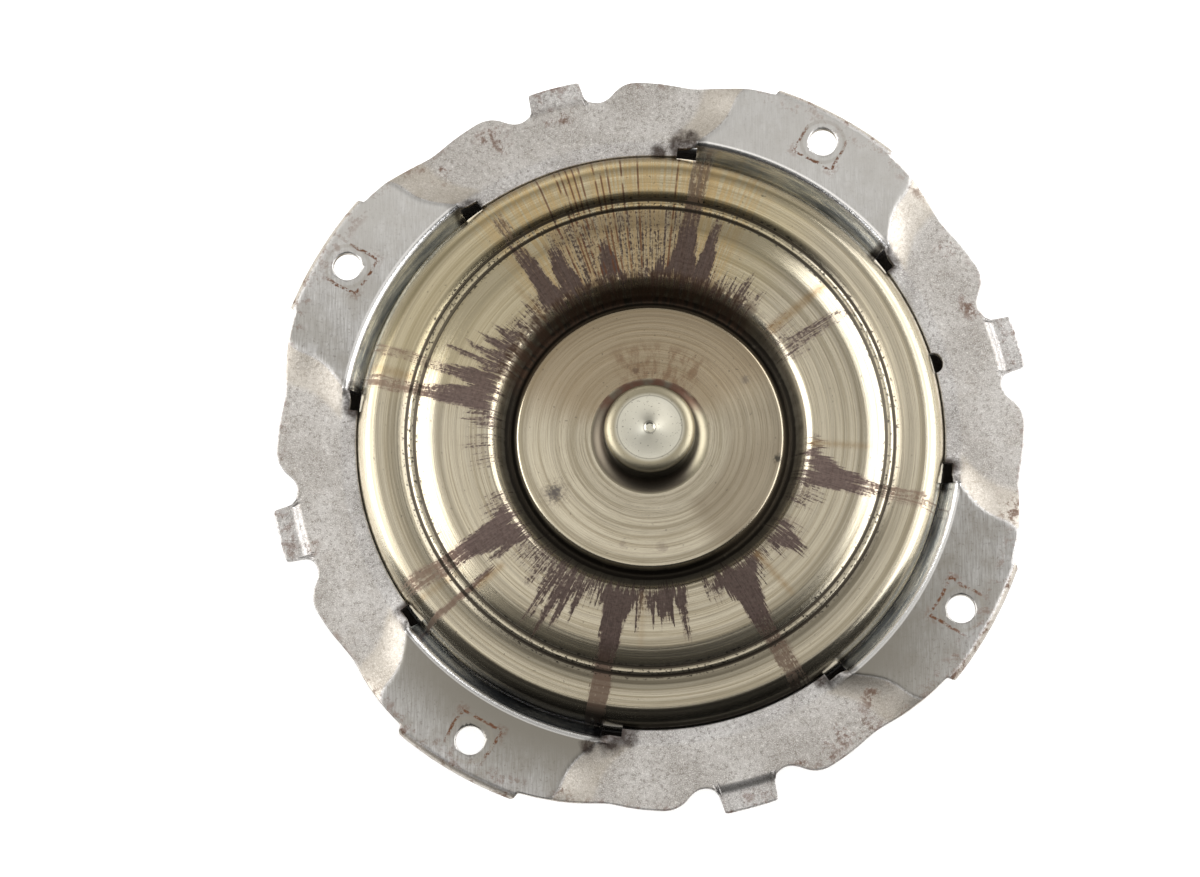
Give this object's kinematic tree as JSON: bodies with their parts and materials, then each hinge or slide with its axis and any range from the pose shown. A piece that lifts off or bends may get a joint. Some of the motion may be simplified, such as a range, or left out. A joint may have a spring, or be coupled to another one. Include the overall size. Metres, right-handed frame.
{
  "type": "torque converter",
  "caption": "Lock-up torque converter with a dished front cover, centre pilot and a raised-pad flexplate ring, over a clutch, sprung damper, pendulum, turbine, stator and impeller.",
  "frame": {"origin": "on the axis of rotation, in the top face of the four bolt pads of the mounting ring", "axes": "+Z along the axis towards the engine, +X and +Y across the ring with the first bolt pad 60 degrees from +X"},
  "size_m": [0.3036, 0.3036, 0.15],
  "materials": {
    "cover_steel": "turned and stained",
    "pilot_steel": "satin turned",
    "ring_steel": "blasted, machined on the pads",
    "weld": "heat tinted",
    "shell_steel": "drawn sheet, oiled",
    "ground_steel": "ground",
    "cast_aluminium": "die cast",
    "blade_steel": "pressed sheet",
    "stamped_steel": "stamped",
    "hard_steel": "hardened and ground",
    "spring_steel": "blued",
    "friction_lining": "paper lining on steel",
    "seal": "moulded"
  },
  "bodies": {
    "root": {"front_cover": "cover_steel", "pilot": "pilot_steel", "mounting_ring": "ring_steel", "ring_welds": "weld", "closing_weld": "weld", "outer_disc_carrier": "stamped_steel", "backing_disc": "stamped_steel", "clutch_snap_ring": "spring_steel", "impeller_shell": "shell_steel", "impeller_blades": "blade_steel", "impeller_core_ring": "blade_steel", "pump_hub": "ground_steel", "rear_bearing_race": "hard_steel"},
    "piston": {"clutch_piston": "stamped_steel", "piston_outer_seal": "seal", "piston_inner_seal": "seal"},
    "turbine": {"turbine_hub": "ground_steel", "turbine_hub_rivets": "stamped_steel", "damper_flange": "stamped_steel", "damper_flange_rivets": "stamped_steel", "pendulum_carrier": "stamped_steel", "turbine_shell": "shell_steel", "turbine_blades": "blade_steel", "turbine_core_ring": "blade_steel", "front_bearing_race": "hard_steel"},
    "damper_input": {"inner_disc_carrier": "stamped_steel", "damper_front_plate": "stamped_steel", "damper_rear_plate": "stamped_steel", "damper_carrier_rivets": "stamped_steel", "damper_spacers": "stamped_steel", "damper_springs": "spring_steel"},
    "stator": {"stator_wheel": "cast_aluminium", "clutch_outer_race": "hard_steel", "clutch_rollers": "hard_steel", "clutch_springs": "spring_steel", "stator_side_plates": "stamped_steel", "middle_bearing_race": "hard_steel"},
    "inner_race": {"clutch_inner_race": "hard_steel"},
    "steel_disc_1": {"steel_disc_1": "stamped_steel"},
    "lined_disc_1": {"lined_disc_1": "friction_lining"},
    "steel_disc_2": {"steel_disc_2": "stamped_steel"},
    "lined_disc_2": {"lined_disc_2": "friction_lining"},
    "steel_disc_3": {"steel_disc_3": "stamped_steel"},
    "lined_disc_3": {"lined_disc_3": "friction_lining"},
    "pendulum_roller_1a": {"pendulum_roller_1a": "hard_steel"},
    "pendulum_roller_1b": {"pendulum_roller_1b": "hard_steel"},
    "pendulum_mass_1": {"pendulum_mass_1": "stamped_steel"},
    "pendulum_roller_2a": {"pendulum_roller_2a": "hard_steel"},
    "pendulum_roller_2b": {"pendulum_roller_2b": "hard_steel"},
    "pendulum_mass_2": {"pendulum_mass_2": "stamped_steel"},
    "pendulum_roller_3a": {"pendulum_roller_3a": "hard_steel"},
    "pendulum_roller_3b": {"pendulum_roller_3b": "hard_steel"},
    "pendulum_mass_3": {"pendulum_mass_3": "stamped_steel"},
    "front_bearing": {"front_bearing_cage": "hard_steel", "front_bearing_needles": "hard_steel"},
    "middle_bearing": {"middle_bearing_cage": "hard_steel", "middle_bearing_needles": "hard_steel"},
    "rear_bearing": {"rear_bearing_cage": "hard_steel", "rear_bearing_needles": "hard_steel"}
  },
  "joints": [
    {"name": "piston_slide", "type": "slide", "parent": "root", "child": "piston", "axis": [0, 0, -1], "range_m": [0, 0.0014]},
    {"name": "turbine_spin", "type": "hinge", "parent": "root", "child": "turbine", "pos_m": [0, 0, -0.05], "axis": [0, 0, 1], "continuous": true},
    {"name": "damper_twist", "type": "hinge", "parent": "turbine", "child": "damper_input", "pos_m": [0, 0, -0.0392], "axis": [0, 0, 1], "range_deg": [-8, 8], "stiffness_Nm_per_rad": 900, "deforming": ["damper_springs"]},
    {"name": "steel_disc_1_slide", "type": "slide", "parent": "root", "child": "steel_disc_1", "axis": [0, 0, -1], "range_m": [0, 0.0012]},
    {"name": "lined_disc_1_slide", "type": "slide", "parent": "damper_input", "child": "lined_disc_1", "axis": [0, 0, -1], "range_m": [0, 0.001]},
    {"name": "steel_disc_2_slide", "type": "slide", "parent": "root", "child": "steel_disc_2", "axis": [0, 0, -1], "range_m": [0, 0.000801]},
    {"name": "lined_disc_2_slide", "type": "slide", "parent": "damper_input", "child": "lined_disc_2", "axis": [0, 0, -1], "range_m": [0, 0.000601]},
    {"name": "steel_disc_3_slide", "type": "slide", "parent": "root", "child": "steel_disc_3", "axis": [0, 0, -1], "range_m": [0, 0.000401]},
    {"name": "lined_disc_3_slide", "type": "slide", "parent": "damper_input", "child": "lined_disc_3", "axis": [0, 0, -1], "range_m": [0, 0.000201]},
    {"name": "pendulum_swing_1", "type": "hinge", "parent": "turbine", "child": "pendulum_roller_1a", "pos_m": [0.08703, -0.03386, -0.0521], "axis": [0, 0, 1], "range_deg": [-35, 35]},
    {"name": "pendulum_mass_1_hinge", "type": "hinge", "parent": "pendulum_roller_1a", "child": "pendulum_mass_1", "pos_m": [0.09903, -0.03386, -0.0521], "axis": [0, 0, 1], "range_deg": [-35.1, 35.1]},
    {"name": "pendulum_roller_1b_hinge", "type": "hinge", "parent": "turbine", "child": "pendulum_roller_1b", "pos_m": [0.08703, 0.03386, -0.0521], "axis": [0, 0, 1], "range_deg": [-35.1, 35.1]},
    {"name": "pendulum_swing_2", "type": "hinge", "parent": "turbine", "child": "pendulum_roller_2a", "pos_m": [-0.01419, 0.0923, -0.0521], "axis": [0, 0, 1], "range_deg": [-35, 35]},
    {"name": "pendulum_mass_2_hinge", "type": "hinge", "parent": "pendulum_roller_2a", "child": "pendulum_mass_2", "pos_m": [-0.02019, 0.10269, -0.0521], "axis": [0, 0, 1], "range_deg": [-35.1, 35.1]},
    {"name": "pendulum_roller_2b_hinge", "type": "hinge", "parent": "turbine", "child": "pendulum_roller_2b", "pos_m": [-0.07284, 0.05844, -0.0521], "axis": [0, 0, 1], "range_deg": [-35.1, 35.1]},
    {"name": "pendulum_swing_3", "type": "hinge", "parent": "turbine", "child": "pendulum_roller_3a", "pos_m": [-0.07284, -0.05844, -0.0521], "axis": [0, 0, 1], "range_deg": [-35, 35]},
    {"name": "pendulum_mass_3_hinge", "type": "hinge", "parent": "pendulum_roller_3a", "child": "pendulum_mass_3", "pos_m": [-0.07884, -0.06883, -0.0521], "axis": [0, 0, 1], "range_deg": [-35.1, 35.1]},
    {"name": "pendulum_roller_3b_hinge", "type": "hinge", "parent": "turbine", "child": "pendulum_roller_3b", "pos_m": [-0.01419, -0.0923, -0.0521], "axis": [0, 0, 1], "range_deg": [-35.1, 35.1]},
    {"name": "inner_race_spin", "type": "hinge", "parent": "root", "child": "inner_race", "pos_m": [0, 0, -0.08], "axis": [0, 0, 1], "continuous": true},
    {"name": "stator_spin", "type": "hinge", "parent": "inner_race", "child": "stator", "pos_m": [0, 0, -0.08], "axis": [0, 0, 1], "continuous": true},
    {"name": "front_bearing_spin", "type": "hinge", "parent": "root", "child": "front_bearing", "pos_m": [0, 0, -0.0276], "axis": [0, 0, 1], "continuous": true},
    {"name": "middle_bearing_spin", "type": "hinge", "parent": "root", "child": "middle_bearing", "pos_m": [0, 0, -0.0673], "axis": [0, 0, 1], "continuous": true},
    {"name": "rear_bearing_spin", "type": "hinge", "parent": "root", "child": "rear_bearing", "pos_m": [0, 0, -0.0916], "axis": [0, 0, 1], "continuous": true}
  ],
  "couplings": [
    {"joint": "steel_disc_1_slide", "follows": "piston_slide", "ratio": 0.85714},
    {"joint": "lined_disc_1_slide", "follows": "piston_slide", "ratio": 0.71429},
    {"joint": "steel_disc_2_slide", "follows": "piston_slide", "ratio": 0.57143},
    {"joint": "lined_disc_2_slide", "follows": "piston_slide", "ratio": 0.42857},
    {"joint": "steel_disc_3_slide", "follows": "piston_slide", "ratio": 0.28571},
    {"joint": "lined_disc_3_slide", "follows": "piston_slide", "ratio": 0.14286},
    {"joint": "pendulum_mass_1_hinge", "follows": "pendulum_swing_1", "ratio": -1},
    {"joint": "pendulum_roller_1b_hinge", "follows": "pendulum_swing_1", "ratio": 1},
    {"joint": "pendulum_mass_2_hinge", "follows": "pendulum_swing_2", "ratio": -1},
    {"joint": "pendulum_roller_2b_hinge", "follows": "pendulum_swing_2", "ratio": 1},
    {"joint": "pendulum_mass_3_hinge", "follows": "pendulum_swing_3", "ratio": -1},
    {"joint": "pendulum_roller_3b_hinge", "follows": "pendulum_swing_3", "ratio": 1},
    {"joint": "front_bearing_spin", "follows": "turbine_spin", "ratio": 0.5},
    {"joint": "middle_bearing_spin", "follows": "turbine_spin", "ratio": 0.5},
    {"joint": "rear_bearing_spin", "follows": "stator_spin", "ratio": 0.5}
  ]
}
